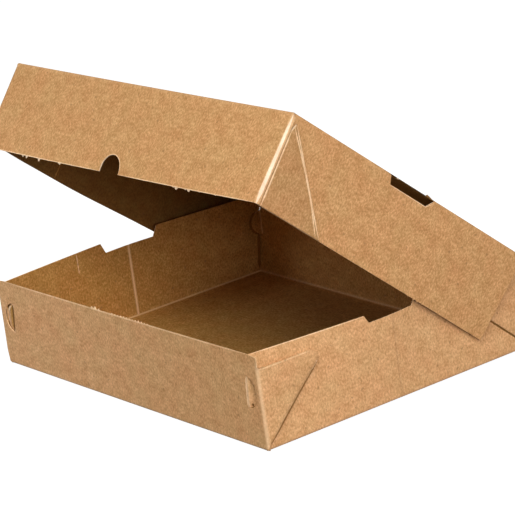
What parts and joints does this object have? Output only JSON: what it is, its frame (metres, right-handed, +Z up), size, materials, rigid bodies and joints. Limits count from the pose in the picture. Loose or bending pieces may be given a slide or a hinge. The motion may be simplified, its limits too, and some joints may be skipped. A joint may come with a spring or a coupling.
{
  "type": "takeout box",
  "caption": "Shallow takeout box folded from kraft board, with folded web corners, lock tongues, vent cuts and a hinged lid with flanges and a thumb notch.",
  "frame": {"origin": "centre of the base's underside", "axes": "+X along the hinge crease, +Y from the front wall to the hinge wall, +Z up"},
  "size_m": [0.249, 0.1802, 0.1678],
  "materials": {
    "tray_board": "matt uncoated kraft board",
    "lid_board": "matt uncoated kraft board"
  },
  "bodies": {
    "tray": {"tray": "tray_board"},
    "lid": {"lid": "lid_board"}
  },
  "joints": [
    {"name": "lid_hinge", "type": "hinge", "parent": "tray", "child": "lid", "pos_m": [0, 0.08975, 0.0508], "axis": [-1, 0, 0], "range_deg": [-40, 140]}
  ]
}
